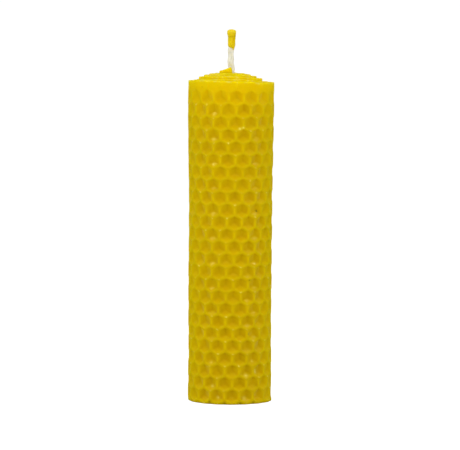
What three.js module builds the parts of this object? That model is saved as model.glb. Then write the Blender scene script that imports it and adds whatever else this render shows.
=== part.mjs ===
// A rolled beeswax candle, in three pieces: one sheet of wax pressed with honeycomb cells, the cotton
// wick that it is rolled round, and the coat of wax on the wick's dipped end.
//
// Millimetres, +Z up. The candle stands on z = 0 with its bounding box centred on the Z axis, and -Y
// is its front. The sheet has coordinates of its own: s runs along its middle from the outer edge
// inwards, n is out of its middle towards the cells, and z is up it from its lower edge.

import * as THREE from "three";
import { mergeVertices } from "three/addons/utils/BufferGeometryUtils.js";

// The wax sheet and how it is rolled
const SHEET_LENGTH = 355;
const SHEET_HEIGHT = 120;
const WEB_THICKNESS = 0.45; // of the wax left behind the deepest point of a cell
const CELL_DEPTH = 1;
const TURN_GAP = 0.68; // air between two turns
const INNER_EDGE_ANGLE = THREE.MathUtils.degToRad(270); // in front of the wick, anticlockwise from +X
const PRESSED_SHARE = 0.65; // of its thickness, which the outer edge keeps where it is pressed down
const PRESSED_WIDTH = 4; // how far from that edge the pressing reaches
const CORE_DRAW = 1.8; // how far the core is drawn out to the left

// The crown, where the inner turns have ridden up as they were rolled
const CROWN_RISE = 3.05;
const CROWN_RADIUS = 13.4; // from the candle's axis; what is further out stands level
const CROWN_POWER = 3.2; // a higher power gives a flatter middle and a steeper shoulder
const TONGUE_RISE = 2.5; // of the top edge at its inner end, which stands up as a tongue
const TONGUE_LENGTH = 8;
const CORNER_WIDTH = 1.4; // of the corner rounded off the tongue
const CORNER_HEIGHT = 2;
const TOP_FLARE = 0.5; // how much wider the radius is at the top
const FLARE_START = 60; // height at which the flare begins

// The honeycomb on the outer turn
const CELL_WIDTH = 5.34; // across the flats
const RIDGE_WIDTH = 1;
const WALL_INSET = 0.3; // how far a wall leans in from the rim to the floor
const EDGE_MARGIN = 5.5; // smooth wax from the outer edge to the first cells
const FOOT_MARGIN = 3.1; // from the lower edge to the middle of the lowest row
const PLAIN_BAND = 2.5; // the least height that stays smooth under the top edge

// The wick
const WICK_WIDTH = 2.1;
const WICK_THICKNESS = 1.6;
const WICK_CLEARANCE = 0.35; // between the wick and the first turn
const BARE_LENGTH = 9.5; // between the crown and the dipped end
const WICK_SWAY = 0.12; // how far the bare length waves from side to side
const DIPPED_SHARE = 0.7; // the wick inside the dip is squeezed to this share of its size

// The wax on the dipped end
const DIP_LENGTH = 6.8;
const DIP_CLEARANCE = 0.2; // between the squeezed wick and its wax
const DIP_WALL = 0.43;
const DIP_COVER = 1.5; // wax above the end of the wick
const DIP_NECK_LENGTH = 2; // straight sleeve below the drop
const DROP_RADIUS = 1.74; // of the drop that set at the very top
const DROP_CAP = 1.05; // from the drop's widest point up to its top

// How finely round things are divided
const SEGMENTS_PER_TURN = 28;
const SHEET_LEVELS = [0, 0.5, 0.75, 1]; // shares of the height at which the plain faces are divided
const WICK_SIDES = 12;
const WICK_STEP = 1.2; // between two rings of the bare length
const DIP_SIDES = 16;
const DIP_CURVE_STEPS = 4;

// Sizes that follow
const sheetThickness = WEB_THICKNESS + CELL_DEPTH; // to the tops of the ridges
const face = sheetThickness / 2; // n of the ridge tops
const turnPitch = sheetThickness + TURN_GAP;
const gain = turnPitch / (2 * Math.PI); // of radius for each radian of turn
const coreRadius = WICK_WIDTH / 2 + WICK_CLEARANCE + sheetThickness / 2;
const outerRadius = Math.sqrt(coreRadius ** 2 + 2 * gain * SHEET_LENGTH);
const turns = (outerRadius - coreRadius) / turnPitch;
const crownTop = SHEET_HEIGHT + CROWN_RISE;
const rowPitch = (CELL_WIDTH * Math.sqrt(3)) / 2;
const cornerRadius = CELL_WIDTH / Math.sqrt(3); // from a cell's middle to where three ridges meet
const rimRadius = (CELL_WIDTH - RIDGE_WIDTH) / Math.sqrt(3);
const axisShift = turnPitch / 4; // of the candle's axis, left of and in front of the roll's middle
const wickShift = coreRadius - face - WICK_CLEARANCE - WICK_THICKNESS / 2; // to stand by the tongue
const dipBottom = crownTop + BARE_LENGTH;
const dippedEnd = dipBottom + DIP_LENGTH - DIP_COVER - DIP_CLEARANCE;

// The roll is a spiral that loses one pitch in each turn, so its radius falls evenly with its angle.
function radiusAt(s) {
  return Math.sqrt(outerRadius ** 2 - 2 * gain * s);
}

function lengthTo(radius) {
  return (outerRadius ** 2 - radius ** 2) / (2 * gain);
}

function angleAt(s) {
  return INNER_EDGE_ANGLE - (radiusAt(s) - coreRadius) / gain;
}

// How far the sheet is drawn out of the spiral at s: on the left, by more towards the core.
function drawAt(s) {
  const leftward = Math.max(0, -Math.cos(angleAt(s)));
  return CORE_DRAW * (1 - radiusAt(s) / outerRadius) * leftward ** 2;
}

// How far the sheet has ridden up at s, by its distance from the candle's axis.
function liftAt(s) {
  const radius = radiusAt(s) + drawAt(s);
  const x = radius * Math.cos(angleAt(s)) + axisShift;
  const y = radius * Math.sin(angleAt(s)) + axisShift;
  const inward = Math.min(1, Math.hypot(x, y) / CROWN_RADIUS);
  return CROWN_RISE * (1 - inward ** CROWN_POWER);
}

// The share by which the roll is wider at a height.
function flareAt(z) {
  return (TOP_FLARE / outerRadius) * THREE.MathUtils.smoothstep(z, FLARE_START, SHEET_HEIGHT);
}

// The share of its thickness that the sheet keeps at s.
function pressAt(s) {
  return THREE.MathUtils.lerp(PRESSED_SHARE, 1, THREE.MathUtils.smoothstep(s, 0, PRESSED_WIDTH));
}

// A point of the sheet, rolled up. Pressing brings its face towards its back, which stays in place.
function onRoll({ s, n, z }) {
  const angle = angleAt(s);
  const back = radiusAt(s) + drawAt(s) - face;
  const radius = (back + (n + face) * pressAt(s)) * (1 + flareAt(z));
  return new THREE.Vector3(radius * Math.cos(angle), radius * Math.sin(angle), z + liftAt(s));
}

// The height of the top edge. It curves up to the tongue, whose corner is a quarter of an ellipse.
function topAt(s) {
  const tongue = Math.max(0, 1 - (SHEET_LENGTH - s) / TONGUE_LENGTH);
  const missing = Math.max(0, 1 - (SHEET_LENGTH - s) / CORNER_WIDTH);
  const drop = CORNER_HEIGHT * (1 - Math.sqrt(1 - missing ** 2));
  return SHEET_HEIGHT + TONGUE_RISE * tongue ** 2 - drop;
}

// A point at a share of the sheet's height. Only the top edge follows the tongue.
function levelPoint(s, n, level) {
  return { s, n, z: level === 1 ? topAt(s) : SHEET_HEIGHT * level };
}

// The sheet's surface is gathered as triangles of sheet points, anticlockwise as seen from outside.
class Surface {
  constructor() {
    this.positions = [];
  }

  triangle(...corners) {
    for (const corner of corners) this.positions.push(...onRoll(corner));
  }

  quad(a, b, c, d) {
    this.triangle(a, b, c);
    this.triangle(a, c, d);
  }

  // The strip between two lines of points that run side by side, with the strip on the left of the
  // first line. key names the coordinate that grows along both.
  strip(right, left, key) {
    let i = 0;
    let j = 0;
    while (i < right.length - 1 || j < left.length - 1) {
      const rightNext = right[i + 1]?.[key] ?? Infinity;
      const leftNext = left[j + 1]?.[key] ?? Infinity;
      if (rightNext <= leftNext) {
        this.triangle(right[i], right[i + 1], left[j]);
        i++;
      } else {
        this.triangle(right[i], left[j + 1], left[j]);
        j++;
      }
    }
  }

  geometry() {
    const geometry = new THREE.BufferGeometry();
    geometry.setAttribute("position", new THREE.Float32BufferAttribute(this.positions, 3));
    return finished(geometry);
  }
}

function finished(geometry) {
  const merged = mergeVertices(geometry, 1e-4);
  merged.computeVertexNormals();
  return merged;
}

// One cell. Its rim has six corners, clockwise from the top one. Three floor faces meet in its
// middle, at its deepest point, and climb to the rim at the odd corners. Walls stand at the others.
function addCell(surface, s, z) {
  const corner = (k, radius, n) => {
    const angle = Math.PI / 2 - (k * Math.PI) / 3;
    return { s: s + radius * Math.cos(angle), n, z: z + radius * Math.sin(angle) };
  };
  const rim = [0, 1, 2, 3, 4, 5].map((k) => corner(k, rimRadius, face));
  const middle = { s, n: face - CELL_DEPTH, z };
  for (const k of [0, 2, 4]) {
    const foot = corner(k, rimRadius - WALL_INSET, face - CELL_DEPTH / 2);
    const before = rim[(k + 5) % 6];
    const after = rim[k + 1];
    surface.triangle(before, foot, rim[k]);
    surface.triangle(rim[k], foot, after);
    surface.triangle(before, middle, foot);
    surface.triangle(foot, middle, after);
  }
  return rim;
}

// The ridges between the cells, and the places where three of them meet. Odd rows stand half a cell
// further along than even ones.
function addRidges(surface, rows) {
  rows.forEach((cells, j) => {
    cells.forEach((cell, i) => {
      const right = cells[i + 1];
      const upperRight = rows[j + 1]?.[i + (j % 2)];
      const upperLeft = rows[j + 1]?.[i + (j % 2) - 1];
      if (right) surface.quad(cell[2], right[4], right[5], cell[1]);
      if (upperRight) surface.quad(cell[0], cell[1], upperRight[3], upperRight[4]);
      if (upperLeft) surface.quad(cell[5], cell[0], upperLeft[2], upperLeft[3]);
      if (upperRight && upperLeft) surface.triangle(cell[0], upperRight[4], upperLeft[2]);
      if (upperRight && right) surface.triangle(cell[1], right[5], upperRight[3]);
    });
  });
}

// The outer turn's face: cells, ridges and the smooth margins around them.
function addHoneycomb(surface, stations) {
  const end = stations.at(-1);
  const rowRoom = SHEET_HEIGHT - FOOT_MARGIN - PLAIN_BAND - cornerRadius;
  const rowCount = 1 + Math.floor(rowRoom / rowPitch);
  const columnCount = Math.floor((end - EDGE_MARGIN) / CELL_WIDTH - 0.5);
  const rows = [];
  for (let j = 0; j < rowCount; j++) {
    const first = EDGE_MARGIN + CELL_WIDTH * (j % 2 ? 1 : 0.5);
    const cells = [];
    for (let i = 0; i < columnCount; i++) {
      cells.push(addCell(surface, first + i * CELL_WIDTH, FOOT_MARGIN + j * rowPitch));
    }
    rows.push(cells);
  }
  addRidges(surface, rows);

  const isLow = (j) => j === 0;
  const isHigh = (j) => j === rowCount - 1;
  const pick = (cell, corners) => corners.map((k) => cell[k]);
  const bottomSide = rows[0].flatMap((cell) => pick(cell, [4, 3, 2]));
  const topSide = rows.at(-1).flatMap((cell) => pick(cell, [5, 0, 1]));
  const leftSide = rows.flatMap((cells, j) => {
    const ends = j % 2 ? [4, 5] : [...(isLow(j) ? [] : [3]), 4, 5, ...(isHigh(j) ? [] : [0])];
    return pick(cells[0], ends);
  });
  const rightSide = rows.flatMap((cells, j) => {
    const ends = j % 2 ? [3, 2, 1, ...(isHigh(j) ? [] : [0])] : [2, 1];
    return pick(cells.at(-1), ends);
  });
  const across = (level) => stations.map((s) => levelPoint(s, face, level));
  const upright = (s) => SHEET_LEVELS.map((level) => levelPoint(s, face, level));
  surface.strip(across(0), bottomSide, "s");
  surface.strip(topSide, across(1), "s");
  surface.strip(leftSide, upright(0), "z");
  surface.strip(upright(end), rightSide, "z");
}

// The plain faces between two stations: the back, the lower edge, the top edge and, further in than
// the honeycomb, the face.
function addSegment(surface, from, to, faceIsPlain) {
  for (let i = 1; i < SHEET_LEVELS.length; i++) {
    const low = SHEET_LEVELS[i - 1];
    const high = SHEET_LEVELS[i];
    const corners = (n) => [
      levelPoint(from, n, low),
      levelPoint(to, n, low),
      levelPoint(to, n, high),
      levelPoint(from, n, high),
    ];
    surface.quad(...corners(-face).reverse());
    if (faceIsPlain) surface.quad(...corners(face));
  }
  const edge = (level) => [
    levelPoint(from, -face, level),
    levelPoint(from, face, level),
    levelPoint(to, face, level),
    levelPoint(to, -face, level),
  ];
  surface.quad(...edge(1));
  surface.quad(...edge(0).reverse());
}

// The outer or the inner edge.
function addUprightEdge(surface, s) {
  for (let i = 1; i < SHEET_LEVELS.length; i++) {
    const corners = [
      levelPoint(s, -face, SHEET_LEVELS[i - 1]),
      levelPoint(s, face, SHEET_LEVELS[i - 1]),
      levelPoint(s, face, SHEET_LEVELS[i]),
      levelPoint(s, -face, SHEET_LEVELS[i]),
    ];
    surface.quad(...(s === 0 ? corners : corners.reverse()));
  }
}

// Distances along the sheet that are evenly spaced round the roll.
function makeStations() {
  const count = Math.round(SEGMENTS_PER_TURN * turns);
  const stations = [];
  for (let i = 0; i <= count; i++) {
    const radius = THREE.MathUtils.lerp(outerRadius, coreRadius, i / count);
    stations.push(i === count ? SHEET_LENGTH : lengthTo(radius));
  }
  return stations;
}

// The least air between two turns, measured in plan from the points of one side of the gap to the
// facets of the other.
function leastTurnGap(stations) {
  const plan = (n) => stations.map((s) => onRoll({ s, n, z: 0 }).setZ(0));
  const onSegment = new THREE.Vector3();
  const nearest = (points, facing) => {
    let least = Infinity;
    points.forEach((point, i) => {
      for (let j = 1; j < facing.length; j++) {
        if (Math.abs(i - j) < SEGMENTS_PER_TURN / 2) continue;
        new THREE.Line3(facing[j - 1], facing[j]).closestPointToPoint(point, true, onSegment);
        least = Math.min(least, point.distanceTo(onSegment));
      }
    });
    return least;
  };
  return Math.min(nearest(plan(face), plan(-face)), nearest(plan(-face), plan(face)));
}

// The whole sheet. The honeycomb runs one segment past a full turn, under the outer edge.
function waxSheetGeometry() {
  const surface = new Surface();
  const stations = makeStations();
  const honeycombEnd = Math.ceil((stations.length - 1) / turns) + 1;
  addHoneycomb(surface, stations.slice(0, honeycombEnd + 1));
  for (let i = 1; i < stations.length; i++) {
    addSegment(surface, stations[i - 1], stations[i], i > honeycombEnd);
  }
  addUprightEdge(surface, 0);
  addUprightEdge(surface, SHEET_LENGTH);
  console.log(`Turns: ${turns.toFixed(2)}. Least gap between turns: ${leastTurnGap(stations).toFixed(3)} mm`);
  return surface.geometry();
}

// A closed solid through level ovals, each given by its height, its centre's x and its two widths.
function ovalLoft(ovals, sides) {
  const positions = [];
  const indices = [];
  for (const { z, x, width, thickness } of ovals) {
    for (let i = 0; i < sides; i++) {
      const angle = (2 * Math.PI * i) / sides;
      positions.push(x + (width / 2) * Math.cos(angle), (thickness / 2) * Math.sin(angle), z);
    }
  }
  for (let j = 1; j < ovals.length; j++) {
    for (let i = 0; i < sides; i++) {
      const low = (j - 1) * sides;
      const next = (i + 1) % sides;
      indices.push(low + i, low + next, low + sides + next);
      indices.push(low + i, low + sides + next, low + sides + i);
    }
  }
  const top = (ovals.length - 1) * sides;
  for (let i = 1; i < sides - 1; i++) {
    indices.push(0, i + 1, i);
    indices.push(top, top + i, top + i + 1);
  }
  const geometry = new THREE.BufferGeometry();
  geometry.setAttribute("position", new THREE.Float32BufferAttribute(positions, 3));
  geometry.setIndex(indices);
  return finished(geometry);
}

// The wick stands straight in the roll, close behind the sheet's inner end and from its lower edge up.
// Its bare length sways once to each side, and its end is squeezed in the dip.
function wickGeometry() {
  const oval = (z, x, share) => ({
    z,
    x,
    width: WICK_WIDTH * share,
    thickness: WICK_THICKNESS * share,
  });
  const neck = WICK_WIDTH * (1 - DIPPED_SHARE);
  const bareTop = dipBottom - DIP_CLEARANCE - neck / 2;
  const steps = Math.max(4, Math.round((bareTop - crownTop) / WICK_STEP));
  const ovals = [oval(liftAt(SHEET_LENGTH), 0, 1)];
  for (let i = 0; i <= steps; i++) {
    const along = i / steps;
    const x = WICK_SWAY * Math.sin(2 * Math.PI * along);
    ovals.push(oval(THREE.MathUtils.lerp(crownTop, bareTop, along), x, 1));
  }
  ovals.push(oval(dipBottom - DIP_CLEARANCE, 0, DIPPED_SHARE));
  ovals.push(oval(dippedEnd, 0, DIPPED_SHARE));
  return ovalLoft(ovals, WICK_SIDES);
}

// The dip is a sleeve round the end of the wick, with a drop at its top.
function tipWaxGeometry() {
  const boreRadius = (WICK_WIDTH * DIPPED_SHARE) / 2 + DIP_CLEARANCE;
  const boreTop = DIP_LENGTH - DIP_COVER;
  const sleeveRadius = boreRadius + DIP_WALL;
  const dropHeight = DIP_LENGTH - DROP_CAP;
  const bend = (dropHeight - DIP_NECK_LENGTH) / 3;
  const outline = new THREE.Path();
  outline.moveTo(0, boreTop);
  outline.lineTo(boreRadius, boreTop);
  outline.lineTo(boreRadius, 0);
  outline.lineTo(sleeveRadius, 0);
  outline.lineTo(sleeveRadius, DIP_NECK_LENGTH);
  outline.bezierCurveTo(
    sleeveRadius,
    DIP_NECK_LENGTH + bend,
    DROP_RADIUS,
    dropHeight - bend,
    DROP_RADIUS,
    dropHeight,
  );
  outline.absellipse(0, dropHeight, DROP_RADIUS, DROP_CAP, 0, Math.PI / 2, false);
  const geometry = new THREE.LatheGeometry(outline.getPoints(DIP_CURVE_STEPS), DIP_SIDES);
  return geometry.rotateX(Math.PI / 2);
}

function piece(name, geometry, color, roughness) {
  const material = new THREE.MeshStandardMaterial({ color, roughness, metalness: 0 });
  const mesh = new THREE.Mesh(geometry, material);
  mesh.name = name;
  return mesh;
}

const waxSheet = piece("wax_sheet", waxSheetGeometry(), 0xc8a602, 0.5);
const wick = piece("wick", wickGeometry(), 0xe4dfc8, 0.9);
const tipWax = piece("tip_wax", tipWaxGeometry(), 0xdbbf16, 0.35);
wick.position.set(-axisShift, -wickShift, 0);
tipWax.position.set(-axisShift, -wickShift, dipBottom);

const candle = new THREE.Group();
candle.add(waxSheet, wick, tipWax);
const middle = new THREE.Box3().setFromObject(candle).getCenter(new THREE.Vector3());
candle.position.set(-middle.x, -middle.y, 0);

export default candle;
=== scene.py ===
"""A rolled beeswax candle: one sheet of honeycomb foundation wound round a braided cotton wick.

Lengths are in millimetres until a mesh is made, which turns them into metres. The sheet has its own
coordinates: along it from the outer edge inwards, up it from its lower edge, and out of its middle.
"""

import math

import bpy
import numpy as np
from mathutils import Matrix, Vector


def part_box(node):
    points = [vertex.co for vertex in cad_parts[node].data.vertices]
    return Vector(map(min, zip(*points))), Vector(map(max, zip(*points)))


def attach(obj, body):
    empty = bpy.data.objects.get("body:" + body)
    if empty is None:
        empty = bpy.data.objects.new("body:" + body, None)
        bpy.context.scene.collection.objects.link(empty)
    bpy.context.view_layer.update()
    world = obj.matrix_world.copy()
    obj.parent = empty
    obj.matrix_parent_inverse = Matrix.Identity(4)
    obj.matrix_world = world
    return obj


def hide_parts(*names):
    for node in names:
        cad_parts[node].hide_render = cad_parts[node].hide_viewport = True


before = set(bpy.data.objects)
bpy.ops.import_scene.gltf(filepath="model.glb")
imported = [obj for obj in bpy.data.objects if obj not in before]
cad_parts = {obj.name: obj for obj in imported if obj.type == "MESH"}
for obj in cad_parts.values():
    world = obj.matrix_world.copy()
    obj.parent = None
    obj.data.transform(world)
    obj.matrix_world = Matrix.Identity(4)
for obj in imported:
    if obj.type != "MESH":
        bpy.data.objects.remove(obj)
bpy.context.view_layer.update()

MM = 0.001

# The sheet and how it is rolled, as the frame has it
SHEET_LENGTH = 355
SHEET_HEIGHT = 120
SHEET_THICKNESS = 1.45
TURN_GAP = 0.68
TURN_PITCH = SHEET_THICKNESS + TURN_GAP
GAIN = TURN_PITCH / (2 * math.pi)
WICK_WIDTH = 2.1
WICK_THICKNESS = 1.6
WICK_CLEARANCE = 0.35
CORE_RADIUS = WICK_WIDTH / 2 + WICK_CLEARANCE + SHEET_THICKNESS / 2
OUTER_RADIUS = math.sqrt(CORE_RADIUS**2 + 2 * GAIN * SHEET_LENGTH)
INNER_EDGE_ANGLE = math.radians(270)
FACE = SHEET_THICKNESS / 2

PRESSED_SHARE = 0.65
PRESSED_WIDTH = 4
CORE_DRAW = 1.8

# The crown and the flare
CROWN_RISE = 3.05
CROWN_RADIUS = 13.4
CROWN_POWER = 3.2
TONGUE_RISE = 2.65
TONGUE_LENGTH = 3.4
TONGUE_SHOULDER = 0.78
CORNER_WIDTH = 0.86
CORNER_HEIGHT = 2.9
TOP_FLARE = 0.5
FLARE_START = 60

# The honeycomb
CELL_WIDTH = 5.34
CELL_STRETCH = 1.005
ROW_PITCH = CELL_WIDTH * math.sqrt(3) / 2
EDGE_MARGIN = 5.35
FOOT_MARGIN = 3.1
ROWS = 25
CELL_DEPTH = 1.15
FLOOR_SLOPE = 0.42
RIDGE_FLAT = 0.3
WALL_REACH = 0.7
WALL_POWER = 1.4
COLUMN_LEAN = 0.0095

# Specks of dirt, and pale scuffs of which two are painted glints, on the outer turn: along, up,
# radius and strength
SPECKS = [
    (43.8, 72.2, 0.36, 1.0),
    (40.4, 26.4, 0.3, 0.55),
    (40.6, 46.5, 0.28, 0.5),
    (33.1, 98.4, 0.26, 0.3),
    (22.5, 117.6, 0.3, 0.2),
    (26.1, 0.9, 0.5, 0.45),
    (31.8, 0.4, 0.6, 0.4),
    (37.5, 0.4, 0.6, 0.45),
    (42.6, 0.7, 0.5, 0.4),
    (72.0, 61.0, 0.3, 0.6),
    (9.0, 33.0, 0.3, 0.5),
]
SCUFFS_AND_GLINTS = [
    (26.9, 6.8, 0.5, 0.5),
    (26.4, 15.6, 0.4, 0.4),
    (29.2, 2.6, 0.5, 0.5),
    (39.0, 2.3, 0.6, 0.5),
    (42.2, 16.1, 0.4, 0.5),
    (43.5, 12.6, 0.4, 0.6),
    (43.8, 11.8, 0.4, 0.8),
    (39.6, 10.9, 0.45, 0.5),
    # These two are painted glints: pale spots standing for light caught at two ridge junctions.
    (36.6, 102.9, 0.35, 0.9),
    (37.8, 103.3, 0.3, 0.9),
    (78.0, 84.0, 0.6, 0.6),
    (5.0, 50.0, 0.6, 0.5),
]

# What the solids leave out: how near two turns come, how the top tilts up to the left and to the
# front and dips on the right, how the wall sways, and how the foot bells out and is tucked up
LEAST_GAP = 0.04
TILT_LEFT = 0.02
TILT_FRONT = 0.035
TILT_START = 105
RIM_DIP = 0.3
RIM_DIP_X = 10
RIM_DIP_WIDTH = 3.4
SWAY = 0.09
FOOT_BELL = 0.35
FOOT_TUCK = 0.55
LIP_HEIGHT = 0.3
EDGE_WAVE = 0.08
RIPPLE = 0.02

# The wick: its plait, its strands and their plies, and its waves between the crown and the dip
PLAIT_LENGTH = 13
PLAIT_WIDTH = 0.36
PLAIT_DEPTH = 0.1
STRAND_WIDTH = 0.72
STRAND_DEPTH = 0.62
PLY_LENGTH = 1.6
PLY_RELIEF = 0.03
BARE_START = 123.6
BARE_LENGTH = 10.5
WAVE_LEFT = 0.14
WAVE_FRONT = 0.12
WICK_SIDE = 0.02

# How it is squeezed in the dip, swells above the crown and narrows at a waist, and where wax is on it
SQUEEZE = 0.42
BARE_SWELL = 0.17
WAIST = 0.2
WAIST_HEIGHT = 129.9
WAIST_LENGTH = 1.05
FLECK_HEIGHT = 126.05
FLECK_RADIUS = 0.32
FLECK_LEFT = 0.16
CROWN_STAIN = 0.12
TIP_STAIN = 0.3

# The dipped end: its sleeve, the drop and dome at its top, and its lip, which hangs on the right
SLEEVE_RADIUS = 1.41
SLEEVE_DEPTH = 0.94
DROP_SWELL = 0.29
DOME_HEIGHT = 1.1
LIP_LENGTH = 1.1
LIP_TURN = 0.32
HANG = 0.85
HANG_WIDTH = 0.28

tip_low, tip_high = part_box("tip_wax")
wick_low, wick_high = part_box("wick")
WICK_X = (tip_low.x + tip_high.x) / 2 / MM
WICK_Y = (tip_low.y + tip_high.y) / 2 / MM
AXIS_SHIFT = TURN_PITCH / 4
WICK_SHIFT = CORE_RADIUS - FACE - WICK_CLEARANCE - WICK_THICKNESS / 2
ROLL_X = WICK_X + AXIS_SHIFT
ROLL_Y = WICK_Y + WICK_SHIFT


def smoothstep(value, start, end):
    """0 before start, 1 after end, and 3t^2 - 2t^3 between them."""
    t = np.clip((value - start) / (end - start), 0, 1)
    return t * t * (3 - 2 * t)


def soft_least(a, b, width):
    """The lesser of a and b, with the corner between them rounded over the width."""
    mix = np.clip(0.5 + 0.5 * (b - a) / width, 0, 1)
    return b + (a - b) * mix - width * mix * (1 - mix)


def waves(seed, a, b, longest, shortest, count=24):
    """Smooth noise between about -1 and 1: a sum of sine waves in random directions over (a, b)."""
    rng = np.random.default_rng(seed)
    total = np.zeros(np.broadcast(a, b).shape)
    for _ in range(count):
        length = shortest * (longest / shortest) ** rng.random()
        heading = rng.random() * 2 * math.pi
        phase = rng.random() * 2 * math.pi
        step = 2 * math.pi / length
        total = total + np.sin(step * (a * math.cos(heading) + b * math.sin(heading)) + phase)
    return total / math.sqrt(2 * count)


def cell_random(seed, column, row):
    """A number from 0 to 1 for each cell: the fraction of a large sine of its column and row."""
    mixed = np.sin(column * 12.9898 + row * 78.233 + seed * 37.719) * 43758.5453
    return mixed - np.floor(mixed)


# The roll


def radius_at(along):
    return np.sqrt(OUTER_RADIUS**2 - 2 * GAIN * along)


def angle_at(along):
    return INNER_EDGE_ANGLE - (radius_at(along) - CORE_RADIUS) / GAIN


def length_to(radius):
    return (OUTER_RADIUS**2 - radius**2) / (2 * GAIN)


def on_roll(along, out, up):
    """A point of the sheet, rolled up. The spiral's radius falls evenly with its angle. The core is
    drawn out to the left, by more towards the middle. The sheet has ridden up by a power of its
    distance from the candle's axis, and the radius flares towards the top. The rim tilts with the
    distance to the left and front, the wall sways by smooth noise, and the foot bells out on the
    right and is tucked up on the left, by powers of the cosine of the angle."""
    spiral = radius_at(along)
    angle = angle_at(along)
    leftward = np.maximum(0, -np.cos(angle)) ** 2
    middle = spiral + CORE_DRAW * (1 - spiral / OUTER_RADIUS) * leftward
    from_axis = np.hypot(middle * np.cos(angle) + AXIS_SHIFT, middle * np.sin(angle) + AXIS_SHIFT)
    lift = CROWN_RISE * (1 - np.minimum(1, from_axis / CROWN_RADIUS) ** CROWN_POWER)
    across = middle * np.cos(angle)
    dip = RIM_DIP * np.exp(-(((across - RIM_DIP_X) / RIM_DIP_WIDTH) ** 2))
    tilt = -TILT_LEFT * across - TILT_FRONT * middle * np.sin(angle) - dip
    tilt = tilt * smoothstep(up, TILT_START, SHEET_HEIGHT)
    flare = 1 + TOP_FLARE / OUTER_RADIUS * smoothstep(up, FLARE_START, SHEET_HEIGHT)
    radius = middle + out
    sway = SWAY * waves(3, np.cos(angle) * 14, np.sin(angle) * 14 + up, 60, 18, 16)
    bell = FOOT_BELL * np.maximum(0, np.cos(angle + 0.3)) ** 12 * smoothstep(-up, -2.6, -0.2)
    tuck = FOOT_TUCK * np.maximum(0, -np.cos(angle + 0.05)) ** 40 * smoothstep(-up, -5, 0)
    share = spiral / OUTER_RADIUS
    radius = (radius + (sway + bell) * share) * flare
    height = up + lift + tilt + tuck * share**4
    return np.stack(
        np.broadcast_arrays(
            ROLL_X + radius * np.cos(angle),
            ROLL_Y + radius * np.sin(angle),
            height,
        ),
        axis=-1,
    )


# The honeycomb


def nearest_cell(along, up):
    """Where a point lies in its cell: to the right of its middle and above it, with the cell's
    column and row. The cell is the one whose middle is nearest, of the rows below and above."""
    leaning = along / CELL_STRETCH - COLUMN_LEAN * (up - SHEET_HEIGHT / 2)
    row_place = (up - FOOT_MARGIN) / ROW_PITCH
    best = None
    for row in (np.floor(row_place), np.floor(row_place) + 1):
        first = EDGE_MARGIN / CELL_STRETCH + CELL_WIDTH * (0.5 + 0.5 * np.mod(row, 2))
        column = np.round((leaning - first) / CELL_WIDTH)
        right = leaning - first - column * CELL_WIDTH
        above = up - FOOT_MARGIN - row * ROW_PITCH
        found = (right**2 + above**2, right, above, column, row)
        if best is None:
            best = found
        else:
            nearer = found[0] < best[0]
            best = tuple(np.where(nearer, new, old) for new, old in zip(found, best))
    return best[1:]


def hexagon_distance(right, above):
    """Distance from a cell's middle, measured square to the nearest of its six sides."""
    return np.maximum(np.abs(right), np.abs(right) / 2 + np.abs(above) * math.sqrt(3) / 2)


def gather(along, up, strength):
    """Draws points together on the walls of the cells: each moves in or out from its cell's middle,
    so that few lie on the flat floors and ridges and most on the steep walls."""
    right, above, _, _ = nearest_cell(along, up)
    distance = np.maximum(hexagon_distance(right, above), 1e-6)
    half = CELL_WIDTH / 2
    rim = half - RIDGE_FLAT
    drawn = np.interp(distance, [0, 1.3, 2.1, half], [0, rim - WALL_REACH, rim + 0.04, half])
    move = strength * (drawn / distance - 1)
    return along + move * right * CELL_STRETCH, up + move * above


def cell_pits(along, up):
    """Depth of the pressed cells, how much a point belongs to their floors, a painted glint where
    three ridges meet under a cell, and painted shade along a cell's two lower sides and, narrower,
    its two upper sides. The wall falls with a power of the distance from the ridge. The floor is
    three planes that meet at the deepest point and climb at 30, 150 and 270 degrees. A glint is a
    longish Gaussian spot, turned at random and stronger in some cells. The cells past the first and
    last rows are flattened."""
    right, above, column, row = nearest_cell(along, up)
    half = CELL_WIDTH / 2
    from_ridge = half - hexagon_distance(right, above)
    wall = CELL_DEPTH * (np.maximum(from_ridge - RIDGE_FLAT, 0) / WALL_REACH) ** WALL_POWER
    climb = np.maximum(-above, np.abs(right) * math.sqrt(3) / 2 + above / 2)
    floor = CELL_DEPTH * (0.94 + 0.12 * cell_random(1, column, row)) - FLOOR_SLOPE * climb
    pit = soft_least(wall, np.maximum(floor, 0), 0.2)
    flattened = (row >= ROWS) * 0.82 + (row < 0) * 0.55
    on_floor = smoothstep(wall - floor, 0, 0.2) * (1 - flattened)
    # A painted glint: a pale spot under each cell, standing for light caught where three ridges meet.
    sideways = right - 0.9 * (cell_random(2, column, row) - 0.5)
    upwards = above + CELL_WIDTH / math.sqrt(3) - 0.6 * cell_random(3, column, row)
    turn = math.pi * cell_random(5, column, row)
    lengthwise = sideways * np.cos(turn) + upwards * np.sin(turn)
    crosswise = upwards * np.cos(turn) - sideways * np.sin(turn)
    glint_and_scuff = np.exp(-((lengthwise / 0.36) ** 2) - (crosswise / 0.22) ** 2)
    glint_and_scuff = glint_and_scuff * 0.9 * cell_random(4, column, row) ** 1.3 * (1 - flattened)
    # Painted shade along the cell's two lower sides and, narrower, its two upper sides.
    from_lower_side = half - np.abs(right) / 2 + above * math.sqrt(3) / 2
    from_upper_side = half - np.abs(right) / 2 - above * math.sqrt(3) / 2
    painted_side_shade = np.exp(-((from_lower_side / 0.75) ** 2)) + np.exp(-((from_upper_side / 0.3) ** 2))
    painted_side_shade = np.minimum(painted_side_shade, 1) * (1 - flattened)
    return np.maximum(pit, 0) * (1 - flattened), on_floor, glint_and_scuff, painted_side_shade


def spots(along, up, places):
    """The sum of Gaussian spots at the places, each given as along, up, radius and strength."""
    total = np.zeros(np.broadcast(along, up).shape)
    for middle, height, radius, strength in places:
        total = total + strength * np.exp(-((along - middle) ** 2 + (up - height) ** 2) / radius**2)
    return total


# Meshes


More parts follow.
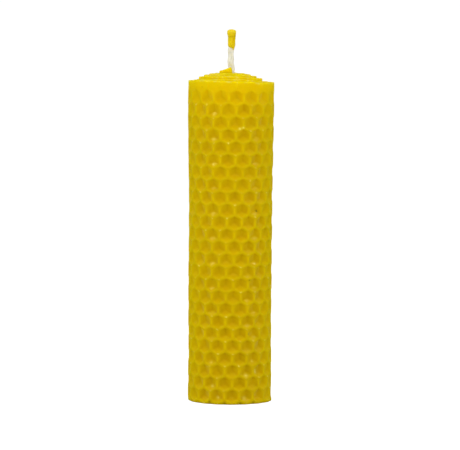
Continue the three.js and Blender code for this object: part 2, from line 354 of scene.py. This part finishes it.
def make_mesh(name, rings, material):
    """A closed surface through rings of points. The rings run along their axis, and each ring's
    points run anticlockwise about it. Quads join each ring to the next, and a face closes each
    end."""
    count, sides = rings.shape[:2]
    ring = np.arange(count - 1)[:, None] * sides
    side = np.arange(sides)[None, :]
    following = (side + 1) % sides
    above = ring + sides
    corners = (ring + side, ring + following, above + following, above + side)
    quads = np.stack(np.broadcast_arrays(*corners), axis=-1).reshape(-1, 4)
    start = list(range(sides))[::-1]
    end = [(count - 1) * sides + i for i in range(sides)]
    mesh = bpy.data.meshes.new(name)
    mesh.from_pydata((rings.reshape(-1, 3) * MM).tolist(), [], [*quads.tolist(), start, end])
    mesh.shade_smooth()
    mesh.materials.append(material)
    piece = bpy.data.objects.new(name, mesh)
    bpy.context.scene.collection.objects.link(piece)
    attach(piece, "root")
    return piece


def add_attributes(piece, values):
    """Named numbers for each point of a piece, for its material to read."""
    for name, numbers in values.items():
        attribute = piece.data.attributes.new(name, "FLOAT", "POINT")
        attribute.data.foreach_set("value", np.ravel(numbers).astype(np.float32))


def sheet_rings(along, back_levels, face_levels):
    """Sections of the sheet, one for each place along it: up the back, over the top edge and down
    the face, whose points go in by the depth of the cells, which are shallower on the candle's left
    and right. The top edge is level next to the back, and rounded over towards the face as a
    superellipse. Also the numbers that the material reads at each point."""
    across = np.array([0.02, 0.2, 0.4, 0.55, 0.68, 0.79, 0.88, 0.95, 0.985])
    over = (1 - np.maximum(0, (across - 0.4) / 0.6) ** 2.2) ** (1 / 2.2)
    place = along[:, None]
    from_inner = SHEET_LENGTH - place
    press = PRESSED_SHARE + (1 - PRESSED_SHARE) * smoothstep(place, 0, PRESSED_WIDTH)
    from_end = np.minimum(place, from_inner)
    rounded = 0.4 + 0.6 * np.sqrt(1 - (1 - np.clip(from_end / 0.5, 0, 1)) ** 2)
    leftward = np.maximum(0, -np.cos(angle_at(place))) ** 2
    gap = TURN_GAP - CORE_DRAW * TURN_PITCH / OUTER_RADIUS * leftward
    back = -FACE - (gap - LEAST_GAP) * smoothstep(from_inner, 14, 20)
    short_waves = waves(11, place, 0 * place, 9, 1.6, 30)
    edge_wave = EDGE_WAVE * short_waves + EDGE_WAVE * waves(12, place, 0 * place, 60, 14, 12)
    shoulder = TONGUE_SHOULDER * smoothstep(-from_inner, -11, -5)
    tongue_share = np.maximum(0, 1 - from_inner / TONGUE_LENGTH) ** 1.3
    tongue = shoulder + (TONGUE_RISE - TONGUE_SHOULDER) * tongue_share
    missing = np.maximum(0, 1 - from_inner / CORNER_WIDTH)
    corner = CORNER_HEIGHT * missing**1.3
    top = SHEET_HEIGHT - LIP_HEIGHT + edge_wave + tongue - corner

    def stretched(levels):
        share = levels / levels.max()
        even_top = SHEET_HEIGHT - LIP_HEIGHT
        return levels * even_top / levels.max() + (top - SHEET_HEIGHT + LIP_HEIGHT) * share**12

    face_up = stretched(face_levels[::-1][None, :])
    inside = smoothstep(place, 0.8, 2) * smoothstep(place[-1] - place, 0.8, 2)
    inside = inside * smoothstep(face_up, 0.4, 1.4) * smoothstep(-face_up, -117.6, -116.6)
    face_along, face_up = gather(np.broadcast_to(place, face_up.shape), face_up, inside)
    pit, on_floor, glint_and_scuff, painted_side_shade = cell_pits(face_along, face_up)
    sideward = np.abs(np.cos(angle_at(place)))
    pit = pit * (1 - 0.45 * smoothstep(sideward, 0.7, 0.97))
    on_floor = on_floor * (1 - smoothstep(sideward, 0.62, 0.82))
    ripple = RIPPLE * inside * waves(5, face_along, face_up, 14, 5, 30)
    back_up = stretched(back_levels[None, :])
    back_out = np.broadcast_to(back, back_up.shape)
    lip_up = top + LIP_HEIGHT * over[None, :]
    lip_out = back + (FACE - back) * across[None, :]
    up = np.concatenate([back_up, lip_up, face_up], axis=1)
    out = np.concatenate([back_out, lip_out, FACE - pit + ripple], axis=1)
    out = np.where(out > -FACE, -FACE + (out + FACE) * press, out)
    out = back + (out - back) * rounded
    lip_edge = np.broadcast_to(np.exp(-(((across - 0.88) / 0.08) ** 2))[None, :], lip_up.shape)
    face_edge = 0.8 * np.exp(-np.maximum(0, top - face_up) / 0.25)
    side_shape = (len(along), back_up.shape[1] + lip_up.shape[1])
    wide = np.concatenate([np.broadcast_to(place, side_shape), face_along], axis=1)
    plain = np.zeros(side_shape)
    # Painted light: the top number makes the wax lighter near the rim; on the lip it is less on the
    # level top than on the rounded side towards the face, to even out how light falls on them.
    lip_painted_light = 0.45 + 0.55 * smoothstep(across, 0.7, 0.95)
    glow = np.concatenate([np.ones(len(back_levels)), lip_painted_light])[None, :]
    glow = np.concatenate([plain + glow, np.ones(face_up.shape)], axis=1)
    # Painted glints where three ridges meet, and pale scuffs, two of which are painted glints too.
    marks = np.clip(glint_and_scuff + spots(face_along, face_up, SCUFFS_AND_GLINTS), 0, 1)
    values = {
        "pit": np.concatenate([plain, pit / CELL_DEPTH], axis=1),
        "floor": np.concatenate([plain, on_floor], axis=1),
        "painted_side_shade": np.concatenate([plain, painted_side_shade], axis=1),
        "glint_and_scuff": np.concatenate([plain, marks], axis=1),
        "speck": np.concatenate([plain, spots(face_along, face_up, SPECKS)], axis=1),
        "edge": np.concatenate([np.zeros(back_up.shape), lip_edge, face_edge], axis=1),
        "top": np.exp(-np.maximum(0, SHEET_HEIGHT - 1.7 - up) / 4.8) * glow,
    }
    return on_roll(wide, out, up), values


def make_sheet():
    """The sheet in two stretches: the outer turn, fine enough for its cells, and those inside."""
    outer_end = length_to(OUTER_RADIUS - TURN_PITCH * 1.03)
    fine = CELL_WIDTH / 14
    pressed_edge = [0, 0.04, 0.12, 0.25, 0.4]
    outer_along = np.concatenate([pressed_edge, np.arange(0.6, outer_end, fine), [outer_end]])
    rows = np.arange(0, 116.6, ROW_PITCH / 12)
    face_levels = np.concatenate([rows, np.linspace(117, 119.5, 7)])
    back_levels = [0, 3, 20, 40, 60, 80, 100, 110, 114, 116, 117.5, 118.5, 119.2, 119.5]
    back_levels = np.array(back_levels)
    rings, values = sheet_rings(outer_along, back_levels, face_levels)
    outer = make_mesh("honeycomb_turn", rings, beeswax)
    add_attributes(outer, values)

    turns_left = (radius_at(outer_end) - CORE_RADIUS) / TURN_PITCH
    radii = np.linspace(radius_at(outer_end), CORE_RADIUS, int(turns_left * 150))
    inner_along = length_to(radii)
    inner_along[-1] = SHEET_LENGTH
    inner_edge = SHEET_LENGTH - np.array([0.12, 0.05, 0.01])
    inner_along = np.concatenate([inner_along[:-1], inner_edge])
    inner_along.sort()
    foot_levels = [0, 0.5, 1, 1.5, 2, 3, 20, 60]
    levels = np.array([*foot_levels, 80, 100, 112, 115, 116.5, 117.5, 118.3, 119, 119.5])
    rings, values = sheet_rings(inner_along, levels, levels)
    inner = make_mesh("inner_turns", rings, beeswax)
    add_attributes(inner, values)
    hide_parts("wax_sheet")
    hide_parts("wax_sheet")


def wick_centre(up):
    """How the wick wanders from its axis, in x and y: one slow wave to the left between the crown
    and the tip, and a smaller one to the front and back."""
    bare = np.clip((up - BARE_START) / BARE_LENGTH, 0, 1)
    x = WICK_X + WICK_SIDE - WAVE_LEFT * (1 - np.cos(2 * math.pi * bare))
    y = WICK_Y + WAVE_FRONT * np.sin(4 * math.pi * bare)
    return x, y


def make_wick():
    """Three strands plaited: each goes round a figure of eight, sin(t) wide and sin(2t) deep. Wax
    stains them at the crown, at the tip and in one Gaussian fleck at the front."""
    bottom = wick_low.z / MM
    top = wick_high.z / MM
    up = np.linspace(bottom, top, 520)[:, None]
    sides = np.linspace(0, 2 * math.pi, 14, endpoint=False)[None, :]
    centre_x, centre_y = wick_centre(up)
    squeeze = 1 - SQUEEZE * smoothstep(up, 133, 134.5)
    waist = WAIST * np.exp(-(((up - WAIST_HEIGHT) / WAIST_LENGTH) ** 2))
    full = 1 + BARE_SWELL * smoothstep(up, 119, 123) - waist
    for k in range(3):
        t = 2 * math.pi * (up / PLAIT_LENGTH + k / 3)
        ply = 1 + PLY_RELIEF * np.cos(3 * sides + up * 2 * math.pi / PLY_LENGTH)
        across = PLAIT_WIDTH * np.sin(t) + STRAND_WIDTH * ply * np.cos(sides)
        deep = PLAIT_DEPTH * np.sin(2 * t) + STRAND_DEPTH * ply * np.sin(sides)
        x = centre_x + squeeze * full * across
        y = centre_y + squeeze * deep
        rings = np.stack(np.broadcast_arrays(x, y, up), axis=-1)
        strand = make_mesh(f"wick_strand_{k + 1}", rings, cotton)
        fleck_up = (up - FLECK_HEIGHT) / FLECK_RADIUS
        fleck_across = (x - WICK_X + FLECK_LEFT) / FLECK_RADIUS
        fleck = 0.5 * np.exp(-(fleck_up**2 + fleck_across**2)) * (y < centre_y)
        at_crown = CROWN_STAIN * smoothstep(-up, -124.2, -123)
        at_tip = TIP_STAIN * smoothstep(up, 132, 132.8)
        crept = at_crown + at_tip
        add_attributes(strand, {"waxed": np.clip(fleck + crept, 0, 1)})
        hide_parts("wick")


def make_tip():
    """The dip: a sleeve whose radius swells to a drop at the top, closed over in a dome. The swell
    fades downwards, more slowly on the right. The lower lip is rounded in towards the wick and
    hangs lower on the right."""
    bottom = tip_low.z / MM
    top = tip_high.z / MM
    drop = top - DOME_HEIGHT
    sides = np.linspace(0, 2 * math.pi, 40, endpoint=False)[None, :]
    inside = np.array([0.3, 0.15, 0.03])
    outside = np.concatenate([np.linspace(0, 0.8, 9) ** 1.4, np.linspace(1, 4, 12)])
    dome_levels = DOME_HEIGHT * np.sin(np.linspace(0.12, 1.5, 12))
    head = drop - bottom + np.concatenate([np.linspace(-1.8, 0, 12), dome_levels])
    levels = np.concatenate([inside, outside, head])[:, None]
    rightness = 0.5 + 0.5 * np.cos(sides)
    below_drop = np.abs(np.minimum(levels + bottom - drop, 0)) / (1.15 + 0.9 * rightness)
    radius = SLEEVE_RADIUS + DROP_SWELL * np.exp(-(below_drop ** (4 - 2 * rightness)))
    dome = np.clip((levels + bottom - drop) / DOME_HEIGHT, 0, 1)
    radius = radius * (1 - dome**2.6) ** (1 / 2.2)
    lip = np.clip(1 - levels / LIP_LENGTH, 0, 1)
    radius = radius - LIP_TURN * lip**2.2
    radius[:3] = np.array([[0.4], [0.75], [0.95]])
    from_hang = np.mod(sides + 0.95 + math.pi, 2 * math.pi) - math.pi
    hang = HANG * np.exp(-((from_hang / HANG_WIDTH) ** 2))
    uneven = 0.025 * waves(21, sides * 1.3 + 0 * levels, levels, 3, 1.2)
    droop = (0.15 * np.cos(sides - 2.6) - hang) * np.clip(1 - levels / 2.4, 0, 1) ** 2
    radius = radius + uneven * (radius > 0.9)
    x = WICK_X + WICK_SIDE + radius * np.cos(sides)
    y = WICK_Y + radius * SLEEVE_DEPTH * np.sin(sides)
    z = bottom + levels + np.maximum(droop, -1.0)
    rings = np.stack(np.broadcast_arrays(x, y, z), axis=-1)
    tip = make_mesh("dipped_end", rings, dipped_wax)
    head_share = smoothstep(z, drop - 1, drop + 0.6)
    # 0 on the tip's left and 1 on its right, which the material turns into painted light and shade.
    around = 0.5 + 0.5 * np.cos(sides + 0.15)
    add_attributes(tip, {"around": around + 0 * z, "head": head_share})
    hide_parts("tip_wax")


# Materials
RIDGE_YELLOW = (0.718, 0.517, 0.0003, 1)
# Painted shade: the pits are painted darker than the ridges.
PIT_SHADE_YELLOW = (0.662, 0.412, 0.0002, 1)
# Painted shade along the sides of the cells.
SIDE_SHADE_YELLOW = (0.655, 0.468, 0.0002, 1)
# Painted light: the wax is painted lighter towards the top of the sheet.
TOP_PAINTED_LIGHT_YELLOW = (0.96, 0.62, 0.0004, 1)
EDGE_YELLOW = (0.92, 0.76, 0.16, 1)
# Painted glint colour, also used for the pale scuffs.
GLINT_AND_SCUFF_YELLOW = (1.0, 0.88, 0.16, 1)
SPECK_BROWN = (0.06, 0.02, 0.003, 1)
# Painted light and shade: the tip is painted paler on its left and deeper on its right.
DIP_LIT_LEFT_YELLOW = (0.84, 0.68, 0.01, 1)
DIP_MIDDLE_YELLOW = (0.8, 0.62, 0.0008, 1)
DIP_DEEP_YELLOW = (0.8, 0.58, 0.0006, 1)
DIP_SHADED_RIGHT_YELLOW = (0.8, 0.6, 0.001, 1)
DROP_YELLOW = (0.88, 0.68, 0.025, 1)
COTTON_SHADE = (0.79, 0.78, 0.64, 1)
COTTON_CREAM = (0.89, 0.89, 0.78, 1)
STAIN_YELLOW = (0.86, 0.72, 0.1, 1)
WAX_ROUGHNESS = 0.8
FLOOR_ROUGHNESS = 0.12
WAX_SPECULAR = 0.06
WAX_SHEEN_COLOUR = (0.95, 0.95, 0.28, 1)
WAX_SUBSURFACE = 1.0
WAX_RADIUS = (1.0, 1.0, 0.12)
WAX_SCALE = 0.002
TOP_SCALE = 0.0032
CHALK_SUBSURFACE = 0.1
BUMP_HEIGHT = 0.0001


def new_material(name):
    material = bpy.data.materials.new(name)
    material.use_nodes = True
    nodes = material.node_tree.nodes
    nodes.clear()
    output = nodes.new("ShaderNodeOutputMaterial")
    shader = nodes.new("ShaderNodeBsdfPrincipled")
    material.node_tree.links.new(shader.outputs["BSDF"], output.inputs["Surface"])
    return material, nodes, material.node_tree.links, shader


def read_number(nodes, name):
    """A named number of the mesh's points."""
    attribute = nodes.new("ShaderNodeAttribute")
    attribute.attribute_name = name
    return attribute.outputs["Fac"]


def blend(nodes, links, factor, start, colour):
    """A colour that goes from the start to a fixed one with the factor."""
    mix = nodes.new("ShaderNodeMix")
    mix.data_type = "RGBA"
    mix.inputs["B"].default_value = colour
    links.new(factor, mix.inputs["Factor"])
    links.new(start, mix.inputs["A"])
    return mix.outputs["Result"]


def remap(nodes, links, value, low, high, start=0, end=1):
    """A value that goes evenly from low to high while the given one goes from start to end."""
    steps = nodes.new("ShaderNodeMapRange")
    steps.inputs["From Min"].default_value = start
    steps.inputs["From Max"].default_value = end
    steps.inputs["To Min"].default_value = low
    steps.inputs["To Max"].default_value = high
    links.new(value, steps.inputs["Value"])
    return steps.outputs["Result"]


def combine(nodes, links, operation, first, second):
    """What a math operation gives for two values."""
    math_node = nodes.new("ShaderNodeMath")
    math_node.operation = operation
    links.new(first, math_node.inputs[0])
    links.new(second, math_node.inputs[1])
    return math_node.outputs["Value"]


def add_noise(nodes, links, place, scale, detail=2, roughness=0.5):
    """Smooth noise between about 0.3 and 0.7."""
    noise = nodes.new("ShaderNodeTexNoise")
    noise.inputs["Scale"].default_value = scale
    noise.inputs["Detail"].default_value = detail
    noise.inputs["Roughness"].default_value = roughness
    links.new(place, noise.inputs["Vector"])
    return noise.outputs["Fac"]


def mottle(nodes, links, colour, cloud, low, high):
    """The colour, made darker and brighter by a noise."""
    mottled = nodes.new("ShaderNodeHueSaturation")
    links.new(remap(nodes, links, cloud, low, high, 0.3, 0.7), mottled.inputs["Value"])
    links.new(colour, mottled.inputs["Color"])
    return mottled.outputs["Color"]


def add_bump(nodes, links, height, strength, shader):
    bump = nodes.new("ShaderNodeBump")
    bump.inputs["Strength"].default_value = strength
    bump.inputs["Distance"].default_value = BUMP_HEIGHT
    links.new(height, bump.inputs["Height"])
    links.new(bump.outputs["Normal"], shader.inputs["Normal"])


def make_beeswax():
    """Yellow wax: deeper in the pits and along the cells' sides as painted shade, lighter towards the
    top as painted light, pale on painted glints, scuffs and cut edges, and glossy on the cells'
    floors only."""
    material, nodes, links, shader = new_material("beeswax")
    place = nodes.new("ShaderNodeTexCoord").outputs["Object"]
    glint_and_scuff = read_number(nodes, "glint_and_scuff")
    speck = read_number(nodes, "speck")
    top = read_number(nodes, "top")

    # Painted shade: the wax is painted darker the deeper a point lies in its pit.
    shade_by_depth = nodes.new("ShaderNodeValToRGB")
    shade_by_depth.color_ramp.elements[0].color = RIDGE_YELLOW
    shade_by_depth.color_ramp.elements[1].color = PIT_SHADE_YELLOW
    links.new(read_number(nodes, "pit"), shade_by_depth.inputs["Fac"])
    # Painted shade along the sides of the cells, darker than the ridges.
    painted_side_shade = read_number(nodes, "painted_side_shade")
    colour = blend(nodes, links, painted_side_shade, shade_by_depth.outputs["Color"], SIDE_SHADE_YELLOW)
    # Painted light: lighter towards the top of the sheet and on the rounded side of the lip.
    colour = blend(nodes, links, top, colour, TOP_PAINTED_LIGHT_YELLOW)
    bloom = remap(nodes, links, add_noise(nodes, links, place, 700, 3), 0, 1, 0.5, 0.68)
    pale = combine(nodes, links, "MULTIPLY", bloom, read_number(nodes, "edge"))
    colour = blend(nodes, links, pale, colour, EDGE_YELLOW)
    # Painted glints where ridges meet, and pale scuffs.
    colour = blend(nodes, links, glint_and_scuff, colour, GLINT_AND_SCUFF_YELLOW)
    cloud = add_noise(nodes, links, place, 260, 4, 0.6)
    colour = mottle(nodes, links, colour, cloud, 0.96, 1.03)
    colour = blend(nodes, links, speck, colour, SPECK_BROWN)
    links.new(colour, shader.inputs["Base Color"])

    floor = read_number(nodes, "floor")
    polish = remap(nodes, links, floor, WAX_ROUGHNESS, FLOOR_ROUGHNESS)
    links.new(polish, shader.inputs["Roughness"])
    shader.inputs["Specular IOR Level"].default_value = WAX_SPECULAR
    shader.inputs["Specular Tint"].default_value = WAX_SHEEN_COLOUR

    marked = combine(nodes, links, "MAXIMUM", speck, glint_and_scuff)
    chalky = combine(nodes, links, "MAXIMUM", pale, marked)
    clear = remap(nodes, links, chalky, WAX_SUBSURFACE, CHALK_SUBSURFACE)
    links.new(clear, shader.inputs["Subsurface Weight"])
    shader.inputs["Subsurface Radius"].default_value = WAX_RADIUS
    reach = remap(nodes, links, top, WAX_SCALE, TOP_SCALE)
    links.new(reach, shader.inputs["Subsurface Scale"])
    add_bump(nodes, links, add_noise(nodes, links, place, 1500), 0.04, shader)
    return material


def make_dipped_wax():
    """Clear yellow wax: paler on the left of the tip and deeper on the right as painted light and
    shade, and paler on its drop.
    """
    material, nodes, links, shader = new_material("dipped_wax")
    place = nodes.new("ShaderNodeTexCoord").outputs["Object"]
    # Painted light and shade: the ramp runs from a paler left to a deeper right.
    ramp = nodes.new("ShaderNodeValToRGB")
    stops = ramp.color_ramp.elements
    stops[0].position = 0.1
    stops[0].color = DIP_LIT_LEFT_YELLOW
    stops[1].position = 0.95
    stops[1].color = DIP_SHADED_RIGHT_YELLOW
    for position, colour in ((0.5, DIP_MIDDLE_YELLOW), (0.8, DIP_DEEP_YELLOW)):
        stops.new(position).color = colour
    links.new(read_number(nodes, "around"), ramp.inputs["Fac"])
    head = read_number(nodes, "head")
    colour = blend(nodes, links, head, ramp.outputs["Color"], DROP_YELLOW)
    cloud = add_noise(nodes, links, place, 900, 3)
    colour = mottle(nodes, links, colour, cloud, 0.98, 1.02)
    links.new(colour, shader.inputs["Base Color"])
    add_bump(nodes, links, cloud, 0.05, shader)
    shader.inputs["Roughness"].default_value = 0.35
    shader.inputs["Specular IOR Level"].default_value = 0.08
    shader.inputs["Subsurface Weight"].default_value = 0.6
    shader.inputs["Subsurface Radius"].default_value = (1.0, 0.85, 0.15)
    shader.inputs["Subsurface Scale"].default_value = 0.0012
    return material


def make_cotton():
    """Cream cotton in fine upright fibres, stained yellow where wax has crept in."""
    material, nodes, links, shader = new_material("cotton")
    stretch = nodes.new("ShaderNodeMapping")
    stretch.inputs["Scale"].default_value = (3200, 3200, 260)
    place = nodes.new("ShaderNodeTexCoord").outputs["Object"]
    links.new(place, stretch.inputs["Vector"])
    fibres = add_noise(nodes, links, stretch.outputs["Vector"], 1, 4)
    ramp = nodes.new("ShaderNodeValToRGB")
    ramp.color_ramp.elements[0].position = 0.35
    ramp.color_ramp.elements[0].color = COTTON_SHADE
    ramp.color_ramp.elements[1].position = 0.65
    ramp.color_ramp.elements[1].color = COTTON_CREAM
    links.new(fibres, ramp.inputs["Fac"])
    waxed = read_number(nodes, "waxed")
    colour = blend(nodes, links, waxed, ramp.outputs["Color"], STAIN_YELLOW)
    links.new(colour, shader.inputs["Base Color"])
    add_bump(nodes, links, fibres, 0.2, shader)
    shader.inputs["Roughness"].default_value = 0.7
    shader.inputs["Specular IOR Level"].default_value = 0.2
    shader.inputs["Subsurface Weight"].default_value = 0.3
    shader.inputs["Subsurface Radius"].default_value = (1.0, 0.95, 0.8)
    shader.inputs["Subsurface Scale"].default_value = 0.0006
    return material


def rays_that_see_white(nodes, links):
    """1 for rays from the camera, from mirrors and through glass, and 0 for the rest."""
    path = nodes.new("ShaderNodeLightPath")
    total = path.outputs["Is Camera Ray"]
    for kind in ("Is Glossy Ray", "Is Transmission Ray"):
        total = combine(nodes, links, "MAXIMUM", total, path.outputs[kind])
    return total


def make_stage():
    """A plain white floor that keeps the candle's shadow, and white all round it."""
    bpy.ops.mesh.primitive_plane_add(size=60, location=(0, 0, 0))
    floor = bpy.context.object
    floor.name = "floor"
    material, nodes, links, shader = new_material("floor")
    shader.inputs["Base Color"].default_value = (0.4, 0.4, 0.4, 1)
    shader.inputs["Roughness"].default_value = 1
    shader.inputs["Specular IOR Level"].default_value = 0
    glow = nodes.new("ShaderNodeMath")
    glow.operation = "MULTIPLY"
    glow.inputs[1].default_value = FLOOR_GLOW
    links.new(rays_that_see_white(nodes, links), glow.inputs[0])
    shader.inputs["Emission Color"].default_value = (1, 1, 1, 1)
    links.new(glow.outputs["Value"], shader.inputs["Emission Strength"])
    floor.data.materials.append(material)

    world = bpy.data.worlds.new("studio")
    bpy.context.scene.world = world
    world.use_nodes = True
    nodes = world.node_tree.nodes
    links = world.node_tree.links
    nodes.clear()
    output = nodes.new("ShaderNodeOutputWorld")
    background = nodes.new("ShaderNodeBackground")
    strength = remap(nodes, links, rays_that_see_white(nodes, links), ROOM_LIGHT, 1)
    links.new(strength, background.inputs["Strength"])
    background.inputs["Color"].default_value = (1, 1, 1, 1)
    links.new(background.outputs["Background"], output.inputs["Surface"])


def add_softbox(name, azimuth, elevation, distance, width, height, power):
    """An area lamp that faces the candle's middle. Azimuth 0 is in front and 90 on the right."""
    lamp = bpy.data.lights.new(name, "AREA")
    lamp.shape = "RECTANGLE"
    lamp.size = width
    lamp.size_y = height
    lamp.energy = power
    softbox = bpy.data.objects.new(name, lamp)
    bpy.context.scene.collection.objects.link(softbox)
    a = math.radians(azimuth)
    e = math.radians(elevation)
    aim = np.array([0, 0, 0.06])
    away = np.array([math.sin(a) * math.cos(e), -math.cos(a) * math.cos(e), math.sin(e)])
    softbox.location = aim + distance * away
    softbox.rotation_euler = look(-away, 0)
    return softbox


def look(direction, roll):
    """Euler angles of a camera or lamp that faces along the direction, turned by the roll."""
    turn = Vector(direction).to_track_quat("-Z", "Y").to_matrix()
    return (turn @ Matrix.Rotation(roll, 3, "Z")).to_euler()


# Camera
CAMERA_DISTANCE = 1338
CAMERA_HEIGHT = 173.8
AIM_HEIGHT = 65.98
FOCAL_PIXELS = 3578
IMAGE_WIDTH = 460
SENSOR = 36
CAMERA_SIDE = -0.12
CAMERA_ROLL = 0.35


def make_camera():
    lens = bpy.data.cameras.new("camera")
    lens.sensor_width = SENSOR
    lens.lens = FOCAL_PIXELS / IMAGE_WIDTH * SENSOR
    lens.clip_start = 0.05
    lens.clip_end = 100
    camera = bpy.data.objects.new("camera", lens)
    bpy.context.scene.collection.objects.link(camera)
    camera.location = (CAMERA_SIDE * MM, -CAMERA_DISTANCE * MM, CAMERA_HEIGHT * MM)
    aim = (0, CAMERA_DISTANCE, AIM_HEIGHT - CAMERA_HEIGHT)
    camera.rotation_euler = look(aim, math.radians(CAMERA_ROLL))
    bpy.context.scene.camera = camera


# Light
ROOM_LIGHT = 0.42
FLOOR_GLOW = 0.87
LAMPS = [
    ("left_box", -56, 36, 1.1, 0.09, 0.18, 2.2),
    ("right_box", 53.6, 36, 1.1, 0.06, 0.12, 1.3),
    ("right_side_box", 78.5, 31.2, 1.1, 0.06, 0.12, 0.7),
    ("left_panel", -85, 6, 1.2, 0.8, 0.8, 2.6),
    ("right_panel", 85, 6, 1.2, 0.8, 0.8, 0.98),
    ("front", 5, 20, 0.28, 0.2, 0.2, 0.285),
    ("back_top", 180, 66, 0.45, 0.4, 0.3, 0.42),
]

make_camera()
make_stage()
for lamp in LAMPS:
    add_softbox(*lamp)

beeswax = make_beeswax()
dipped_wax = make_dipped_wax()
cotton = make_cotton()
make_sheet()
make_wick()
make_tip()

bpy.context.scene.view_settings.view_transform = "Standard"
